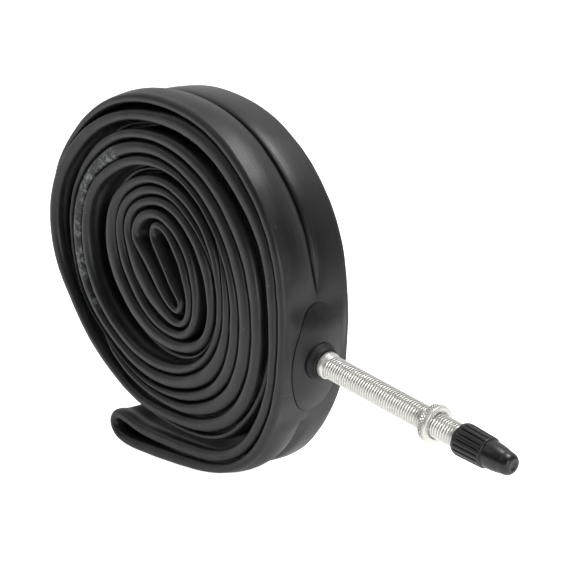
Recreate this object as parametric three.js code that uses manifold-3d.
// Bicycle inner tube, rolled up for storage, with a threaded Presta valve.
//
// The tube is a closed ring of butyl rubber. Emptied of air it lies flat; the flat ring is folded
// double and wound into an oval roll that stands on its edge. The roll's axis is Y, the valve
// stands out of the outermost layer towards +X and points a little downwards, and Z is up.
// The origin is on the ground under the middle of the whole piece, roll and valve together.
// Units are millimetres.
import * as THREE from "three";
import { mergeVertices } from "three/addons/utils/BufferGeometryUtils.js";
import Module from "manifold-3d";

const GAP = 0.3; // running and seating gap between neighbouring pieces
const MIDDLE_X = 25.874; // middle of the overall length and depth, from the middle of the roll
const MIDDLE_Y = 0.7;

// ---- rolled tube; its near edge is at -Y, its far edge at +Y -----------------------------
const FLAT_WIDTH = 22; // width of the emptied tube, lying flat
const WEB_HALF = 0.95; // half of the two rubber walls lying against each other
const WEB_MIN = 0.35; // where the edges are thin, half the web is this plus ...
const WEB_PER_CREST = 0.5; // ... this share of the crest
const CREST_MIN = 0.3; // least half thickness of a folded edge
const EDGE_CREST = 1.1; // from the tip of the near edge to the start of its crest
const EDGE_CREST_END = 2.2; // from the tip to the end of the crest
const FAR_CREST = EDGE_CREST_END - 0.3; // from the tip of the far edge to its crest
const EDGE_LENGTH = 3.9; // from either tip to where the flat middle starts
const EDGE_TIP = 0.52; // thickness at the very tip, as a share of the crest
const OUTER_STATIONS = 26; // stations at the start of the course that lie on the outermost layer

// ---- valve; heights run along its own axis, 0 is where the metal leaves the rubber -------
const VALVE_BASE = new THREE.Vector3(48.0, 0, 36.5);
const VALVE_TILT = 8.96; // degrees below horizontal
const FACETS = 24;

const BOOT_HEIGHT = 1.4;
const BOOT_FOOT_R = 4.8;
const BOOT_TOP_R = 4.2;
const BOOT_BORE_R = 3.45;
const BOOT_FACETS = 32;

const PATCH_TOP = -BOOT_HEIGHT - GAP;
const PATCH_THICK = 1.6;
const PATCH_BOTTOM = PATCH_TOP - PATCH_THICK;
const PATCH_LONG = 14.3; // half length of the oval patch, along the tube
const PATCH_WIDE = 8.0; // half width, across the tube
const PATCH_FACETS = 40;
const SAG_ALLOWANCE = 0.02; // taken off the patch's sag towards the tube

const SEAT_PLANE = PATCH_BOTTOM - GAP; // flattened seat on the tube under the patch
const SEAT_HALF = 6.2; // half length of that seat, along the tube
const SEAT_FADE = 7.5; // length over which the seat blends into the tube
const SEAT_FACING = 0.8; // least cosine between tube normal and valve axis for the seat
const PROFILE_FACING = 0.7; // the same for the surface that the patch follows
const PROFILE_REACH = 24; // how far that surface is followed either way along the tube

const STEM_R = 3.0; // 6 mm threaded stem
const STEM_NECK_R = STEM_R - 0.05; // inside the rubber
const STEM_FOOT_R = 4.5;
const STEM_FOOT_THICK = 0.6;
const STEM_FOOT_TOP = PATCH_BOTTOM + STEM_FOOT_THICK;
const STEM_COLLAR_R = 3.35;
const STEM_COLLAR_TOP = 1.4;
const STEM_SHOULDER = 45.1; // end of the 6 mm thread
const TIP_R = 2.6; // 5.2 mm thread for cap and pump
const TIP_END = 52.6;
const THREAD_LEAD = 0.4; // length of the chamfer that ends each thread
const AIRWAY_R = 1.2;

const CORE_R = 1.85; // valve core sleeve inside the stem
const CORE_BORE_R = CORE_R + GAP; // bore in the stem that takes the core
const CORE_BORE_BOTTOM = 31;
const CORE_BOTTOM = 37.0;
const CORE_HEAD_BOTTOM = TIP_END + GAP;
const CORE_HEAD_TOP = 55.2;
const CORE_HEAD_R = 2.55;
const CORE_FLAT = 2.1; // half distance across the spanner flats of the core head
const CORE_HOLE_R = 0.95;
const FLAT_LEDGE = 0.02; // the flats start this far above the underside of the head
const CUTTER_LENGTH = 6; // block that cuts a flat
const CUTTER_DEPTH = 3;
const OVERRUN = 1; // how far cutters run past the piece they cut

const GASKET_FROM = 42.0;
const GASKET_TO = 43.8;
const GASKET_NECK_R = 1.4; // bottom of the gasket's groove in the core
const GASKET_R = 2.0;
const RING_FIT = 0.25; // radial gap between a rubber ring and what it sits on
const RING_FACETS = 20;

const PIN_R = 0.62;
const PIN_TIP_R = PIN_R + 0.1;
const PIN_TOP = 59.8;
const PIN_BOTTOM = 33.6;
const PIN_FOOT_R = 1.25;
const PIN_FACETS = 18;
const SEAL_BOTTOM = 34.6;
const SEAL_TOP = 36.4;
const SEAL_R = 1.75;

const LOCK_BACKED_OFF = 1.4; // the lock nut stands unscrewed, this far above the core head
const LOCK_BOTTOM = CORE_HEAD_TOP + LOCK_BACKED_OFF;
const LOCK_HEIGHT = 2.6;
const LOCK_TOP = LOCK_BOTTOM + LOCK_HEIGHT;
const LOCK_R = 1.95;
const LOCK_FLUTES = 10;
const LOCK_FLUTE_DEPTH = 0.22;

const NUT_BACK = 35.7; // face towards the wheel rim
const NUT_FRONT = 38.2;
const NUT_BORE_R = STEM_R + GAP;
const NUT_R = 4.72;
const NUT_BAND_END = NUT_BACK + 1.5; // end of the knurled band
const NUT_TEETH = 32;
const NUT_TOOTH = 0.28;

const CAP_OPEN = 45.4;
const CAP_SKIRT_END = 54.1;
const CAP_END = 61.3;
const CAP_SKIRT_R = 4.0;
const CAP_SKIRT_TOP_R = 3.75;
const CAP_NOSE_R = 3.35;
const CAP_NOSE_TOP_R = 2.75;
const CAP_FLUTES = 18;
const CAP_FLUTE_DEPTH = 0.3;
const CAP_BORE_R = TIP_R + GAP;
const CAP_NOSE_BORE_R = 2.3;
const CAP_BORE_STEP = 55.8;
const CAP_BORE_END = 60.3;

// Course of the flat tube in the roll, as a closed line: x, z, half thickness of the folded
// edges, how far the near edge is set back from the roll's face, and how far the far edge is
// (negative where it stands proud).
const STRAND = [
  [-9.99, 1.579, 1.58, 0, 0], [-1.50, 1.915, 1.58, 0, 0], [6.99, 2.401, 1.51, 0, 0.5], [15.42, 3.411, 1.35, 0, 1.7],
  [23.09, 5.652, 1.23, 0, 2.4], [29.28, 9.132, 1.30, 0, 2.6], [34.07, 13.766, 1.39, 0, 2.4], [36.86, 17.792, 1.46, 0, 2],
  [38.48, 20.724, 1.48, 0, 1.7], [39.81, 23.637, 1.47, 0, 1.3], [40.87, 26.656, 1.44, 0, 0.9], [41.64, 29.758, 1.41, 0, 0.5],
  [42.19, 32.911, 1.39, 0, 0.1], [42.59, 36.086, 1.39, 0, 0], [42.89, 39.271, 1.40, 0, 0], [43.10, 42.464, 1.41, 0, 0],
  [43.19, 45.663, 1.43, 0, 0], [43.15, 48.863, 1.45, 0, 0], [42.99, 52.070, 1.47, 0, 0], [42.64, 55.788, 1.48, 0, 0],
  [41.19, 62.835, 1.48, 0, 0], [38.14, 70.294, 1.48, 0, 0], [33.62, 77.047, 1.48, 0, 0], [27.73, 83.181, 1.49, 0, 0],
  [20.91, 88.430, 1.50, 0, 0], [13.26, 92.261, 1.48, 0, 0], [5.08, 94.594, 1.45, 0, 0], [-3.34, 95.738, 1.38, 0, 0],
  [-11.83, 95.743, 1.29, 0, 0], [-20.21, 94.383, 1.21, 0, 0], [-28.25, 91.547, 1.16, 0.2, -0.1], [-35.75, 87.372, 1.12, 0.6, -0.2],
  [-42.54, 82.065, 1.00, 1.3, -0.4], [-48.83, 75.951, 0.95, 2.0, -0.6], [-53.15, 69.730, 1.01, 2.6, -0.8], [-55.42, 63.098, 1.07, 3.0, -0.9],
  [-55.94, 56.106, 1.09, 3.3, -1], [-54.80, 48.732, 1.10, 3.4, -1], [-51.96, 42.095, 1.11, 3.3, -1], [-46.72, 35.279, 1.10, 3.2, -1],
  [-41.00, 28.670, 1.07, 3.2, -1], [-34.80, 22.865, 1.04, 3.1, -0.9], [-27.89, 17.878, 1.02, 3.0, -0.9], [-20.30, 13.871, 0.94, 3.0, -0.9],
  [-12.16, 11.319, 0.87, 3.0, -0.9], [-3.73, 10.232, 0.84, 2.6, -0.8], [4.76, 10.061, 0.81, 2.0, -0.6], [13.11, 10.944, 0.83, 1.4, -0.4],
  [19.93, 13.118, 0.82, 0.9, -0.3], [25.60, 16.734, 0.78, 0.8, -0.2], [29.66, 20.669, 0.78, 0.9, -0.3], [32.09, 23.917, 0.80, 1.1, -0.3],
  [34.77, 29.478, 0.83, 1.5, -0.5], [36.46, 36.868, 0.86, 2.2, -0.7], [36.83, 45.318, 0.84, 2.7, -0.8], [35.98, 53.767, 0.83, 2.8, -0.8],
  [34.22, 61.267, 0.80, 2.8, -0.8], [30.93, 67.648, 0.79, 2.9, -0.9], [25.77, 74.010, 0.76, 3.1, -0.9], [19.35, 79.563, 0.61, 3.2, -1],
  [12.13, 84.078, 0.49, 3.5, -1.1], [4.74, 87.151, 0.41, 3.9, -1.2], [-3.45, 88.641, 0.47, 4.2, -1.3], [-11.94, 88.795, 0.54, 4.5, -1.4],
  [-20.32, 87.480, 0.56, 4.9, -1.4], [-27.94, 84.698, 0.66, 5.2, -1.4], [-34.31, 80.754, 0.82, 5.6, -1.4], [-39.49, 75.778, 0.93, 5.7, -1.4],
  [-43.36, 69.961, 0.98, 5.8, -1.4], [-45.90, 63.582, 1.00, 5.8, -1.4], [-46.74, 56.888, 0.99, 5.9, -1.4], [-45.75, 50.105, 0.96, 5.5, -1.4],
  [-43.11, 43.746, 0.90, 5.0, -1.4], [-38.75, 37.381, 0.67, 3.5, -1.1], [-32.80, 31.344, 0.68, 2.0, -0.6], [-26.16, 26.037, 0.89, 0.3, -0.1],
  [-18.91, 21.625, 0.98, 0, 0], [-11.28, 18.577, 1.03, 0, 0], [-3.01, 17.021, 1.17, 0, 0], [5.06, 16.951, 1.47, 0, 0],
  [12.24, 18.518, 1.77, 0, 0], [18.49, 21.355, 1.99, 0, 0], [23.04, 25.040, 2.07, 0, 0], [26.33, 29.916, 2.06, 0, 0],
  [28.50, 36.135, 2.07, 0, 0], [29.27, 43.308, 2.08, 0, 0], [28.53, 51.411, 2.03, 0, 0], [26.23, 58.871, 2.02, 0, 0],
  [22.48, 65.847, 1.97, 0, 0], [17.30, 72.010, 1.87, 0, 0], [11.15, 76.946, 1.68, 0, 0], [4.20, 80.457, 1.49, 0, 0],
  [-3.36, 82.554, 1.51, 0, 0], [-10.92, 82.999, 1.62, 0, 0], [-18.39, 81.822, 1.77, 0, 0], [-25.44, 79.105, 1.84, 0, 0],
  [-31.64, 75.109, 1.69, 0, 0], [-36.12, 70.489, 1.60, 0, 0], [-39.09, 65.011, 1.64, 0, 0], [-40.70, 58.765, 1.69, 0, 0],
  [-40.70, 52.279, 1.75, 0, 0], [-39.16, 45.920, 1.75, 0, 0], [-36.03, 40.041, 1.67, 0, 0], [-31.29, 34.666, 1.38, 0, 0],
  [-24.70, 29.567, 1.33, 0, 0], [-17.72, 25.598, 1.49, 0, 0], [-10.46, 23.340, 1.66, 0, 0], [-3.18, 22.689, 1.73, 0, 0],
  [4.08, 23.662, 1.78, 0, 0], [10.65, 26.002, 2.02, 0, 0], [15.50, 29.267, 2.12, 0, 0], [19.03, 33.725, 1.89, 0, 0],
  [21.40, 39.256, 1.41, 0, 0], [22.31, 45.758, 1.08, 0, 0], [21.75, 53.002, 0.91, 0.1, 0], [19.64, 59.869, 0.67, 0.9, -0.3],
  [16.18, 65.857, 0.46, 1.6, -0.5], [11.45, 70.870, 0.39, 2.2, -0.7], [5.77, 74.595, 0.39, 2.7, -0.8], [-0.43, 76.858, 0.42, 3.3, -1],
  [-7.12, 77.382, 0.54, 3.8, -1.1], [-14.33, 76.536, 0.69, 4.0, -1.2], [-20.17, 74.330, 0.85, 4.2, -1.3], [-24.74, 70.951, 0.98, 4.4, -1.3],
  [-28.13, 66.409, 1.05, 4.6, -1.4], [-30.20, 61.029, 1.09, 4.6, -1.4], [-30.71, 55.231, 1.07, 4.6, -1.4], [-29.64, 49.381, 1.05, 4.6, -1.4],
  [-26.97, 43.842, 1.03, 4.2, -1.3], [-22.44, 38.505, 1.03, 3.9, -1.2], [-16.73, 33.985, 0.98, 3.5, -1.1], [-10.56, 31.154, 0.93, 3.2, -1],
  [-3.89, 29.846, 0.83, 2.6, -0.8], [3.15, 30.097, 0.72, 1.7, -0.5], [9.01, 31.618, 0.57, 0.9, -0.3], [13.23, 34.272, 0.37, 0.7, -0.2],
  [16.12, 38.078, 0.26, 1.0, -0.3], [17.74, 43.092, 0.27, 1.4, -0.4], [17.99, 49.278, 0.32, 1.5, -0.4], [16.75, 55.789, 0.47, 1.0, -0.3],
  [14.13, 61.435, 0.65, 0.4, -0.1], [10.08, 66.214, 0.80, 0, 0], [4.77, 70.028, 0.84, 0, 0], [-0.69, 72.259, 1.06, 0, 0],
  [-6.13, 72.648, 1.25, 0, 0], [-11.68, 71.497, 1.27, 0, 0], [-16.40, 69.014, 1.27, 0, 0], [-19.73, 65.676, 1.34, 0, 0],
  [-21.37, 61.750, 1.41, 0, 0], [-21.28, 57.076, 1.58, 0, 0], [-19.63, 51.840, 1.64, 0, 0], [-15.93, 46.302, 1.58, 0, 0],
  [-10.70, 40.744, 1.42, 0, 0], [-5.75, 37.665, 1.26, 0, 0], [-0.55, 36.225, 1.18, 0, 0], [3.90, 36.293, 1.21, 0, 0],
  [7.26, 37.941, 1.28, 0, 0], [9.46, 40.958, 1.20, 0, 0], [10.29, 45.242, 1.16, 0, 0], [9.69, 50.844, 1.28, 0, 0],
  [7.64, 56.753, 1.33, 0, 0], [4.45, 61.342, 1.31, 0, 0], [0.28, 64.656, 1.33, 0, 0], [-3.98, 66.317, 1.33, 0, 0],
  [-8.16, 66.139, 1.38, 0, 0], [-11.76, 64.674, 1.53, 0, 0], [-14.04, 62.289, 1.45, 0, 0], [-14.73, 59.420, 1.33, 0, 0],
  [-12.59, 56.393, 1.36, 0, 0], [-7.41, 51.072, 1.56, 0, 0], [-2.44, 45.431, 1.30, 0, 0], [0.73, 43.095, 1.04, 0, 0],
  [3.14, 42.630, 0.90, 0, 0], [4.18, 44.303, 0.86, 0, 0], [2.70, 46.879, 0.94, 0, 0], [-1.41, 52.036, 1.09, 0, 0],
  [-5.75, 57.909, 1.08, 0, 0], [-7.34, 61.043, 1.01, 0, 0], [-6.45, 63.216, 0.99, 0, 0], [-4.05, 63.540, 1.05, 0, 0],
  [-1.22, 62.209, 1.17, 0, 0], [2.05, 58.952, 1.28, 0, 0], [5.31, 53.615, 1.25, 0, 0], [7.17, 48.116, 1.16, 0, 0],
  [7.34, 43.758, 1.05, 0, 0], [6.17, 40.698, 1.02, 0, 0], [3.62, 39.220, 1.10, 0, 0], [0.13, 39.674, 1.42, 0, 0],
  [-5.21, 42.400, 2.01, 0, 0], [-10.35, 46.392, 2.15, 0, 0], [-14.75, 51.841, 2.09, 0, 0], [-17.28, 57.195, 1.48, 0, 0],
  [-17.98, 61.356, 1.27, 0, 0], [-16.61, 64.730, 1.34, 0, 0], [-13.64, 67.449, 1.24, 0, 0], [-9.18, 69.253, 1.24, 0, 0],
  [-3.88, 69.875, 1.29, 0, 0], [1.13, 68.839, 1.37, 0, 0], [6.10, 66.030, 1.50, 0, 0], [10.57, 61.725, 1.63, 0, 0],
  [13.88, 56.355, 1.65, 0, 0], [15.75, 50.307, 1.42, 0, 0], [16.08, 44.514, 1.23, 0, 0], [14.96, 39.863, 1.19, 0, 0],
  [12.45, 36.422, 1.33, 0, 0], [8.59, 34.139, 1.53, 0, 0], [3.36, 33.039, 1.54, 0, 0], [-2.86, 33.356, 1.70, 0, 0],
  [-9.04, 35.217, 1.99, 0, 0], [-14.97, 38.740, 2.15, 0, 0], [-20.06, 43.601, 2.15, 0, 0], [-23.60, 48.891, 2.15, 0, 0],
  [-25.34, 54.352, 2.15, 0, 0], [-25.45, 59.953, 2.04, 0, 0], [-24.14, 64.987, 1.85, 0, 0], [-21.37, 69.038, 1.70, 0, 0],
  [-17.00, 72.274, 1.43, 0, 0], [-11.32, 74.581, 1.19, 0, 0], [-5.20, 75.403, 1.13, 0, 0], [0.51, 74.599, 1.18, 0, 0],
  [6.37, 71.977, 1.28, 0, 0], [11.70, 67.999, 1.22, 0, 0], [15.70, 63.033, 1.16, 0, 0], [18.38, 57.029, 1.10, 0, 0],
  [19.74, 50.058, 1.08, 0, 0], [19.63, 43.442, 1.02, 0, 0], [17.97, 38.056, 0.92, 0, 0], [14.89, 33.473, 0.87, 0, 0],
  [10.51, 29.886, 1.03, 0, 0], [4.87, 27.429, 1.26, 0, 0], [-1.81, 26.312, 1.47, 0, 0], [-9.21, 26.704, 1.52, 0, 0],
  [-16.19, 28.587, 1.51, 0, 0], [-22.93, 32.252, 1.52, 0, 0], [-29.05, 37.183, 1.59, 0, 0], [-33.40, 42.705, 1.63, 0, 0],
  [-36.09, 48.528, 1.65, 0, 0], [-37.16, 54.690, 1.65, 0, 0], [-36.64, 60.670, 1.63, 0, 0], [-34.61, 66.194, 1.62, 0, 0],
  [-31.25, 70.738, 1.56, 0, 0], [-26.04, 74.634, 1.47, 0, 0], [-19.16, 77.866, 1.41, 0, 0], [-12.07, 79.499, 1.40, 0, 0],
  [-4.55, 79.567, 1.24, 0, 0], [2.24, 78.100, 1.06, 0, 0], [8.63, 75.059, 0.95, 0, 0], [14.46, 70.466, 0.89, 0, 0],
  [19.34, 64.633, 0.97, 0, 0], [22.89, 57.848, 1.10, 0, 0], [24.90, 50.855, 1.31, 0, 0], [25.31, 43.013, 1.52, 0, 0],
  [24.30, 36.130, 1.67, 0, 0], [21.94, 30.519, 1.73, 0, 0], [18.45, 26.195, 1.61, 0, 0], [13.53, 22.938, 1.44, 0, 0],
  [6.94, 20.609, 1.37, 0, 0], [-0.70, 19.575, 1.06, 0, 0], [-8.46, 20.106, 0.74, 0, 0], [-15.97, 22.255, 0.49, 0, 0],
  [-23.28, 26.046, 0.36, 0, 0], [-30.14, 31.050, 0.37, 0.1, 0], [-36.08, 36.265, 0.28, 0.2, -0.1], [-39.98, 41.791, 0.36, 0.3, -0.1],
  [-42.41, 48.048, 0.36, 0.3, -0.1], [-43.45, 55.047, 0.41, 0.2, -0.1], [-42.83, 61.737, 0.55, 0, 0], [-40.62, 68.134, 0.66, 0, 0],
  [-36.88, 74.056, 0.89, 0, 0], [-31.83, 79.113, 1.21, 0, 0], [-25.77, 82.959, 1.34, 0, 0], [-18.88, 85.462, 1.29, 0, 0],
  [-10.75, 86.558, 1.31, 0, 0], [-2.28, 86.103, 1.49, 0, 0], [5.64, 84.103, 1.77, 0, 0], [12.95, 80.566, 1.76, 0, 0],
  [19.55, 75.726, 1.85, 0, 0], [25.20, 69.540, 1.94, 0, 0], [29.54, 62.881, 2.03, 0, 0], [32.09, 55.799, 1.96, 0, 0],
  [33.44, 47.479, 1.77, 0, 0], [33.45, 39.150, 1.77, 0, 0], [31.96, 31.724, 1.88, 0, 0], [29.21, 25.568, 1.92, 0, 0],
  [25.38, 20.763, 1.91, 0, 0], [20.43, 17.149, 1.88, 0, 0], [14.02, 14.573, 1.79, 0, 0], [6.12, 13.262, 1.61, 0, 0],
  [-2.37, 13.362, 1.57, 0, 0], [-10.81, 14.248, 1.49, 0, 0], [-18.71, 16.616, 1.38, 0, 0], [-26.17, 20.544, 1.41, 0, 0],
  [-33.04, 25.541, 1.51, 0, 0], [-39.16, 31.436, 1.57, 0, 0], [-44.50, 38.141, 1.65, 0, 0], [-49.06, 44.886, 1.74, 0, 0],
  [-51.44, 51.616, 1.82, 0, 0], [-52.04, 58.595, 1.88, 0, 0], [-50.75, 65.345, 1.90, 0, 0], [-47.72, 71.563, 1.89, 0, 0],
  [-43.01, 77.210, 1.83, 0, 0], [-37.12, 82.380, 1.74, 0, 0], [-29.95, 86.684, 1.56, 0, 0], [-21.95, 89.639, 1.45, 0, 0],
  [-13.58, 91.197, 1.50, 0, 0], [-5.09, 91.479, 1.69, 0, 0], [3.35, 90.810, 1.97, 0, 0], [11.26, 88.650, 2.10, 0, 0],
  [18.83, 84.846, 2.15, 0, 0], [25.55, 79.746, 2.14, 0, 0], [31.37, 73.685, 2.04, 0, 0], [35.53, 67.219, 1.90, 0, 0],
  [38.22, 60.034, 1.78, 0, 0], [39.54, 51.803, 1.65, 0, 0], [39.91, 43.315, 1.47, 0, 0], [39.49, 36.082, 1.35, 0, 0],
  [39.00, 32.427, 1.35, 0, 0.2], [38.32, 29.291, 1.37, 0, 0.5], [37.35, 26.244, 1.42, 0, 0.8], [36.09, 23.303, 1.46, 0, 1.1],
  [34.59, 20.459, 1.48, 0, 1.4], [32.62, 17.320, 1.49, 0, 1.6], [28.84, 12.993, 1.49, 0, 1.8], [23.58, 9.411, 1.50, 0, 1.7],
  [17.07, 7.116, 1.51, 0, 1.4], [8.94, 6.163, 1.57, 0, 0.6], [0.45, 5.958, 1.64, 0, 0], [-8.05, 6.162, 1.67, 0, 0],
  [-16.39, 6.905, 1.57, 0, 0], [-22.28, 8.102, 1.44, 0, 0], [-25.27, 7.572, 1.36, 0, 0], [-26.39, 5.501, 1.32, 0, 0],
  [-25.30, 3.332, 1.34, 0, 0], [-22.44, 1.947, 1.38, 0, 0], [-17.57, 1.440, 1.44, 0, 0],
];

// ---- materials ---------------------------------------------------------------------------
const material = (settings) => new THREE.MeshStandardMaterial(settings);
const butyl = material({ color: 0x2b2b2c, roughness: 0.62, metalness: 0 });
const patchRubber = material({ color: 0x272728, roughness: 0.68, metalness: 0 });
const bootRubber = material({ color: 0x151515, roughness: 0.5, metalness: 0 });
const nickel = material({ color: 0xb9b9b4, roughness: 0.25, metalness: 1 });
const brass = material({ color: 0xb08d4a, roughness: 0.3, metalness: 1 });
const sealRubber = material({ color: 0x1c1c1c, roughness: 0.7, metalness: 0 });
const capPlastic = material({ color: 0x0e0e0f, roughness: 0.35, metalness: 0 });

// ---- helpers -----------------------------------------------------------------------------
// A closed surface from rings of points: rings are joined one to the next, and the ring list
// closes on itself when `loop` is set; otherwise the first and last rings are filled.
function skin(rings, loop) {
  const size = rings[0].length;
  const count = rings.length;
  const points = rings.flat();
  const triangles = [];
  const joins = loop ? count : count - 1;
  for (let i = 0; i < joins; i++) {
    const here = i * size;
    const next = ((i + 1) % count) * size;
    for (let k = 0; k < size; k++) {
      const k2 = (k + 1) % size;
      triangles.push([here + k, here + k2, next + k2], [here + k, next + k2, next + k]);
    }
  }
  if (!loop) {
    const centre = (ring) => [0, 1, 2].map((j) => ring.reduce((sum, p) => sum + p[j] / size, 0));
    const firstCentre = points.length;
    const lastCentre = firstCentre + 1;
    const lastRing = (count - 1) * size;
    points.push(centre(rings[0]), centre(rings[count - 1]));
    for (let k = 0; k < size; k++) {
      const k2 = (k + 1) % size;
      triangles.push([firstCentre, k2, k], [lastCentre, lastRing + k, lastRing + k2]);
    }
  }
  // turn the surface to face outwards
  let volume = 0;
  for (const corners of triangles) {
    const [a, b, c] = corners.map((i) => new THREE.Vector3(...points[i]));
    volume += a.dot(b.cross(c));
  }
  const facing = volume < 0 ? triangles.map(([a, b, c]) => [a, c, b]) : triangles;
  const geometry = new THREE.BufferGeometry();
  geometry.setAttribute("position", new THREE.Float32BufferAttribute(points.flat(), 3));
  geometry.setIndex(facing.flat());
  return geometry;
}

// Points about the local Z axis come from rows of [radius, height, share of the relief].
// `relief` gives the change of radius at each step round the axis.
const smooth = () => 0;
const fluted = (depth) => (i) => (i % 3 === 0 ? -depth : 0);
const toothed = (depth) => (i) => (i % 2 ? -depth : 0);
function pointAt([radius, z, share = 0], i, segments, relief) {
  const angle = (i / segments) * Math.PI * 2;
  const r = radius + relief(i) * share;
  return [r * Math.cos(angle), r * Math.sin(angle), z];
}
const steps = (segments) => Array.from({ length: segments }, (_, i) => i);

// A turned piece from a closed profile.
function turned(profile, segments = FACETS, relief = smooth) {
  const ringAt = (i) => profile.map((row) => pointAt(row, i, segments, relief));
  return skin(steps(segments).map(ringAt), true);
}

// A solid rod, filled at both ends.
function rod(rows, segments = FACETS, relief = smooth) {
  const ringOf = (row) => steps(segments).map((i) => pointAt(row, i, segments, relief));
  return skin(rows.map(ringOf), false);
}

const cylinder = (radius, bottom, top) => rod([[radius, bottom], [radius, top]]);

const wasm = await Module();
wasm.setup();
function toSolid(geometry) {
  const bare = geometry.clone();
  bare.deleteAttribute("normal");
  bare.deleteAttribute("uv");
  const merged = mergeVertices(bare, 1e-4);
  return new wasm.Manifold(
    new wasm.Mesh({
      numProp: 3,
      vertProperties: new Float32Array(merged.attributes.position.array),
      triVerts: new Uint32Array(merged.index.array),
    }),
  );
}

function cut(geometry, cutters) {
  const solid = cutters.reduce((rest, cutter) => rest.subtract(toSolid(cutter)), toSolid(geometry));
  const { vertProperties, triVerts } = solid.getMesh();
  const result = new THREE.BufferGeometry();
  result.setAttribute("position", new THREE.BufferAttribute(new Float32Array(vertProperties), 3));
  result.setIndex(new THREE.BufferAttribute(new Uint32Array(triVerts), 1));
  return result;
}

function named(name, geometry, finish) {
  geometry.computeVertexNormals();
  const mesh = new THREE.Mesh(geometry, finish);
  mesh.name = name;
  return mesh;
}

// ---- the rolled tube ---------------------------------------------------------------------
const tilt = THREE.MathUtils.degToRad(VALVE_TILT);
const axis = new THREE.Vector3(Math.cos(tilt), 0, -Math.sin(tilt));
const along = new THREE.Vector3(Math.sin(tilt), 0, Math.cos(tilt)); // along the tube at the valve
const seat = VALVE_BASE.clone().addScaledVector(axis, SEAT_PLANE);

// One station of the course, with the tube's normal there and the lift that forms the seat
// on the side of the tube that faces the valve.
function stationAt([x, z, crest, near, far], index) {
  const count = STRAND.length;
  const [xBefore, zBefore] = STRAND[(index + count - 1) % count];
  const [xAfter, zAfter] = STRAND[(index + 1) % count];
  const span = Math.hypot(xAfter - xBefore, zAfter - zBefore);
  const normalX = -(zAfter - zBefore) / span;
  const normalZ = (xAfter - xBefore) / span;
  const web = Math.min(WEB_HALF, WEB_MIN + WEB_PER_CREST * crest);
  const facing = normalX * axis.x + normalZ * axis.z;
  const toSeat = seat.clone().sub(new THREE.Vector3(x, 0, z));
  const offset = Math.abs(toSeat.dot(along));
  const depth = toSeat.dot(axis);
  const outer = index < OUTER_STATIONS;
  const inReach = offset < SEAT_HALF + SEAT_FADE;
  let lift = 0;
  if (outer && Math.abs(facing) > SEAT_FACING && depth > 0 && inReach) {
    const t = Math.min(1, (SEAT_HALF + SEAT_FADE - offset) / SEAT_FADE);
    lift = Math.max(0, depth / Math.abs(facing) - web) * t * t * (3 - 2 * t);
  }
  return { x, z, crest, near, far, normalX, normalZ, web, facing, offset, outer, lift };
}
const stations = STRAND.map(stationAt);

function tubeRing({ x, z, crest, near, far, normalX, normalZ, web, facing, lift }) {
  const nearTip = -FLAT_WIDTH / 2 + near;
  const farTip = FLAT_WIDTH / 2 - far;
  const edge = Math.max(crest, CREST_MIN);
  const face = (side) => {
    const middle = web + (side * facing > 0 ? lift : 0);
    return [
      [side * EDGE_TIP * edge, nearTip],
      [side * edge, nearTip + EDGE_CREST],
      [side * edge, nearTip + EDGE_CREST_END],
      [side * middle, nearTip + EDGE_LENGTH],
      [side * middle, farTip - EDGE_LENGTH],
      [side * edge, farTip - FAR_CREST],
      [side * EDGE_TIP * edge, farTip],
    ];
  };
  const outline = [...face(1), ...face(-1).reverse()];
  return outline.map(([out, y]) => [x + normalX * out, y, z + normalZ * out]);
}

const tubeBody = () => named("tube_body", skin(stations.map(tubeRing), true), butyl);

// ---- the valve's pieces, each about the valve's own Z axis -------------------------------
// The tube's surface under the patch, as [distance along the tube, height on the valve axis].
const tubeTop = stations
  .filter((s) => s.outer && Math.abs(s.facing) > PROFILE_FACING && s.offset < PROFILE_REACH)
  .map(({ x, z, normalX, normalZ, web, facing, lift }) => {
    const out = Math.sign(facing) * (web + lift);
    const top = new THREE.Vector3(x + normalX * out, 0, z + normalZ * out).sub(VALVE_BASE);
    return [top.dot(along), top.dot(axis)];
  })
  .sort((a, b) => a[0] - b[0]);

// How far the patch drops to follow the tube's surface at a small gap.
function patchSag(distance) {
  let i = 1;
  while (i < tubeTop.length - 1 && tubeTop[i][0] < distance) i++;
  const [from, fromHeight] = tubeTop[i - 1];
  const [to, toHeight] = tubeTop[i];
  const height = fromHeight + ((toHeight - fromHeight) * (distance - from)) / (to - from);
  return Math.max(0, SEAT_PLANE - height - SAG_ALLOWANCE);
}

// oval reinforcing patch with a recess for the stem's foot
function valvePatch() {
  // share of the oval's size and height, from the middle of the underside out over the rim
  // and back to the middle of the top
  const rows = [
    ...[0.25, 0.45, 0.62, 0.8, 0.985].map((share) => [share, PATCH_BOTTOM]),
    [1.0, PATCH_BOTTOM + 0.35],
    [0.93, PATCH_BOTTOM + 1.05],
    ...[0.8, 0.62, 0.45, 0.25].map((share) => [share, PATCH_TOP]),
  ];
  const rings = rows.map(([share, z]) =>
    steps(PATCH_FACETS).map((i) => {
      const angle = (i / PATCH_FACETS) * Math.PI * 2;
      const x = PATCH_LONG * share * Math.cos(angle);
      // local x runs against `along`
      return [x, PATCH_WIDE * share * Math.sin(angle), z - patchSag(-x)];
    }),
  );
  const below = PATCH_BOTTOM - OVERRUN;
  const hole = cylinder(STEM_R + GAP, below, PATCH_TOP + OVERRUN);
  const recess = cylinder(STEM_FOOT_R + GAP, below, STEM_FOOT_TOP + GAP);
  return named("valve_patch", cut(skin(rings, false), [hole, recess]), patchRubber);
}

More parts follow.
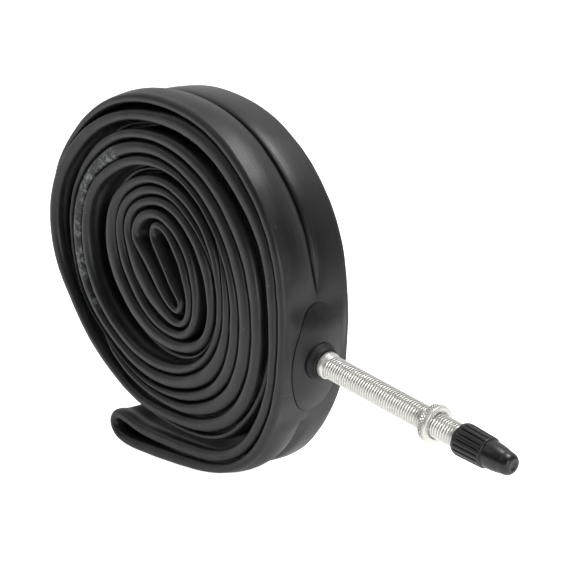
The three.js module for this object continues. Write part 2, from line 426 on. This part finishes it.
// moulded rubber boot around the stem
function valveBoot() {
  const profile = [
    [BOOT_BORE_R, -BOOT_HEIGHT],
    [BOOT_FOOT_R, -BOOT_HEIGHT],
    [BOOT_FOOT_R - 0.12, -0.55],
    [BOOT_TOP_R + 0.25, -0.12],
    [BOOT_TOP_R - 0.1, 0],
    [BOOT_BORE_R, 0],
  ];
  return named("valve_boot", turned(profile, BOOT_FACETS), bootRubber);
}

// threaded stem: foot, collar, 6 mm thread, 5.2 mm tip, airway and core bore
function valveStem() {
  const profile = [
    [AIRWAY_R, PATCH_BOTTOM],
    [STEM_FOOT_R, PATCH_BOTTOM],
    [STEM_FOOT_R, STEM_FOOT_TOP],
    [STEM_NECK_R, STEM_FOOT_TOP],
    [STEM_NECK_R, GAP],
    [STEM_COLLAR_R, GAP],
    [STEM_COLLAR_R, STEM_COLLAR_TOP - 0.15],
    [STEM_R, STEM_COLLAR_TOP],
    [STEM_R, STEM_SHOULDER - THREAD_LEAD],
    [STEM_R - 0.35, STEM_SHOULDER],
    [TIP_R, STEM_SHOULDER],
    [TIP_R, TIP_END - THREAD_LEAD],
    [TIP_R - 0.3, TIP_END],
    [CORE_BORE_R, TIP_END],
    [CORE_BORE_R, CORE_BORE_BOTTOM + 0.8],
    [AIRWAY_R, CORE_BORE_BOTTOM],
  ];
  return named("valve_stem", turned(profile), nickel);
}

// valve core sleeve with its spanner flats above the stem
function coreBody() {
  const profile = [
    [CORE_HOLE_R, CORE_BOTTOM],
    [CORE_R - 0.2, CORE_BOTTOM],
    [CORE_R, CORE_BOTTOM + 0.4],
    [CORE_R, GASKET_FROM - GAP],
    [GASKET_NECK_R, GASKET_FROM - GAP],
    [GASKET_NECK_R, GASKET_TO + GAP],
    [CORE_R, GASKET_TO + GAP],
    [CORE_R, CORE_HEAD_BOTTOM],
    [CORE_HEAD_R, CORE_HEAD_BOTTOM],
    [CORE_HEAD_R, CORE_HEAD_TOP - 0.25],
    [CORE_HEAD_R - 0.3, CORE_HEAD_TOP],
    [CORE_HOLE_R, CORE_HEAD_TOP],
  ];
  const height = CORE_HEAD_TOP - CORE_HEAD_BOTTOM + OVERRUN;
  const flats = [1, -1].map((side) =>
    new THREE.BoxGeometry(CUTTER_LENGTH, CUTTER_DEPTH, height).translate(
      0,
      side * (CORE_FLAT + CUTTER_DEPTH / 2),
      CORE_HEAD_BOTTOM + FLAT_LEDGE + height / 2,
    ),
  );
  return named("core_body", cut(turned(profile), flats), brass);
}

// rubber ring in the core's groove
function coreGasket() {
  const profile = [
    [GASKET_NECK_R + RING_FIT, GASKET_FROM],
    [GASKET_R - 0.1, GASKET_FROM],
    [GASKET_R, GASKET_FROM + 0.4],
    [GASKET_R, GASKET_TO - 0.4],
    [GASKET_R - 0.1, GASKET_TO],
    [GASKET_NECK_R + RING_FIT, GASKET_TO],
  ];
  return named("core_gasket", turned(profile, RING_FACETS), sealRubber);
}

// pin through the core, with a foot that carries the seal
function corePin() {
  const rows = [
    [PIN_FOOT_R - 0.2, PIN_BOTTOM],
    [PIN_FOOT_R, PIN_BOTTOM + 0.2],
    [PIN_FOOT_R, SEAL_BOTTOM - GAP],
    [PIN_R, SEAL_BOTTOM - GAP],
    [PIN_R, PIN_TOP - 1.1],
    [PIN_TIP_R, PIN_TOP - 0.9],
    [PIN_TIP_R, PIN_TOP - 0.25],
    [PIN_R - 0.2, PIN_TOP],
  ];
  return named("core_pin", rod(rows, PIN_FACETS), brass);
}

// rubber seal on the pin's foot
function coreSeal() {
  const profile = [
    [PIN_R + RING_FIT, SEAL_BOTTOM],
    [SEAL_R, SEAL_BOTTOM],
    [SEAL_R, SEAL_TOP - 0.5],
    [SEAL_R - 0.45, SEAL_TOP],
    [PIN_R + RING_FIT, SEAL_TOP],
  ];
  return named("core_seal", turned(profile, RING_FACETS), sealRubber);
}

// knurled lock nut at the tip of the core
function coreNut() {
  const profile = [
    [CORE_HOLE_R, LOCK_BOTTOM],
    [LOCK_R - 0.35, LOCK_BOTTOM],
    [LOCK_R, LOCK_BOTTOM + 0.3, 1],
    [LOCK_R, LOCK_TOP - 0.35, 1],
    [LOCK_R - 0.4, LOCK_TOP],
    [CORE_HOLE_R, LOCK_TOP],
  ];
  return named("core_nut", turned(profile, LOCK_FLUTES * 3, fluted(LOCK_FLUTE_DEPTH)), brass);
}

// knurled ring nut that clamps the stem to the wheel rim
function rimNut() {
  const profile = [
    [NUT_BORE_R, NUT_BACK],
    [NUT_R - 0.45, NUT_BACK],
    [NUT_R, NUT_BACK + 0.3, 1],
    [NUT_R, NUT_BAND_END, 1],
    [NUT_R - 0.35, NUT_BAND_END + 0.25],
    [NUT_R - 0.4, NUT_FRONT - 0.35],
    [NUT_R - 0.8, NUT_FRONT],
    [NUT_BORE_R, NUT_FRONT],
  ];
  return named("rim_nut", turned(profile, NUT_TEETH * 2, toothed(NUT_TOOTH)), nickel);
}

// dust cap: fluted skirt, smooth nose, blind bore
function dustCap() {
  const outside = [
    [CAP_SKIRT_R - 0.5, CAP_OPEN],
    [CAP_SKIRT_R, CAP_OPEN + 0.45, 0.4],
    [CAP_SKIRT_R - 0.02, CAP_OPEN + 1.2, 1],
    [CAP_SKIRT_TOP_R, CAP_SKIRT_END - 0.5, 1],
    [CAP_SKIRT_TOP_R - 0.25, CAP_SKIRT_END],
    [CAP_NOSE_R, CAP_SKIRT_END + 0.15],
    [CAP_NOSE_R - 0.05, CAP_SKIRT_END + 1.2],
    [CAP_NOSE_TOP_R, CAP_END - 1.3],
    [CAP_NOSE_TOP_R - 0.45, CAP_END - 0.45],
    [CAP_NOSE_TOP_R - 1.3, CAP_END],
  ];
  const bore = [
    [CAP_BORE_R, CAP_OPEN - OVERRUN],
    [CAP_BORE_R, CAP_BORE_STEP],
    [CAP_NOSE_BORE_R, CAP_BORE_STEP + 0.5],
    [CAP_NOSE_BORE_R - 0.2, CAP_BORE_END - 0.6],
    [CAP_NOSE_BORE_R - 1.0, CAP_BORE_END],
  ];
  const body = rod(outside, CAP_FLUTES * 3, fluted(CAP_FLUTE_DEPTH));
  return named("dust_cap", cut(body, [rod(bore)]), capPlastic);
}

// ---- assembly ----------------------------------------------------------------------------
const valve = new THREE.Group();
valve.position.copy(VALVE_BASE);
// local x runs against `along`, so that the basis is right-handed
valve.quaternion.setFromRotationMatrix(
  new THREE.Matrix4().makeBasis(along.clone().negate(), new THREE.Vector3(0, 1, 0), axis),
);
valve.add(valvePatch(), valveBoot(), valveStem(), coreBody(), coreGasket());
valve.add(corePin(), coreSeal(), coreNut(), rimNut(), dustCap());

const root = new THREE.Group();
root.position.set(-MIDDLE_X, -MIDDLE_Y, 0);
root.add(tubeBody(), valve);

export default root;
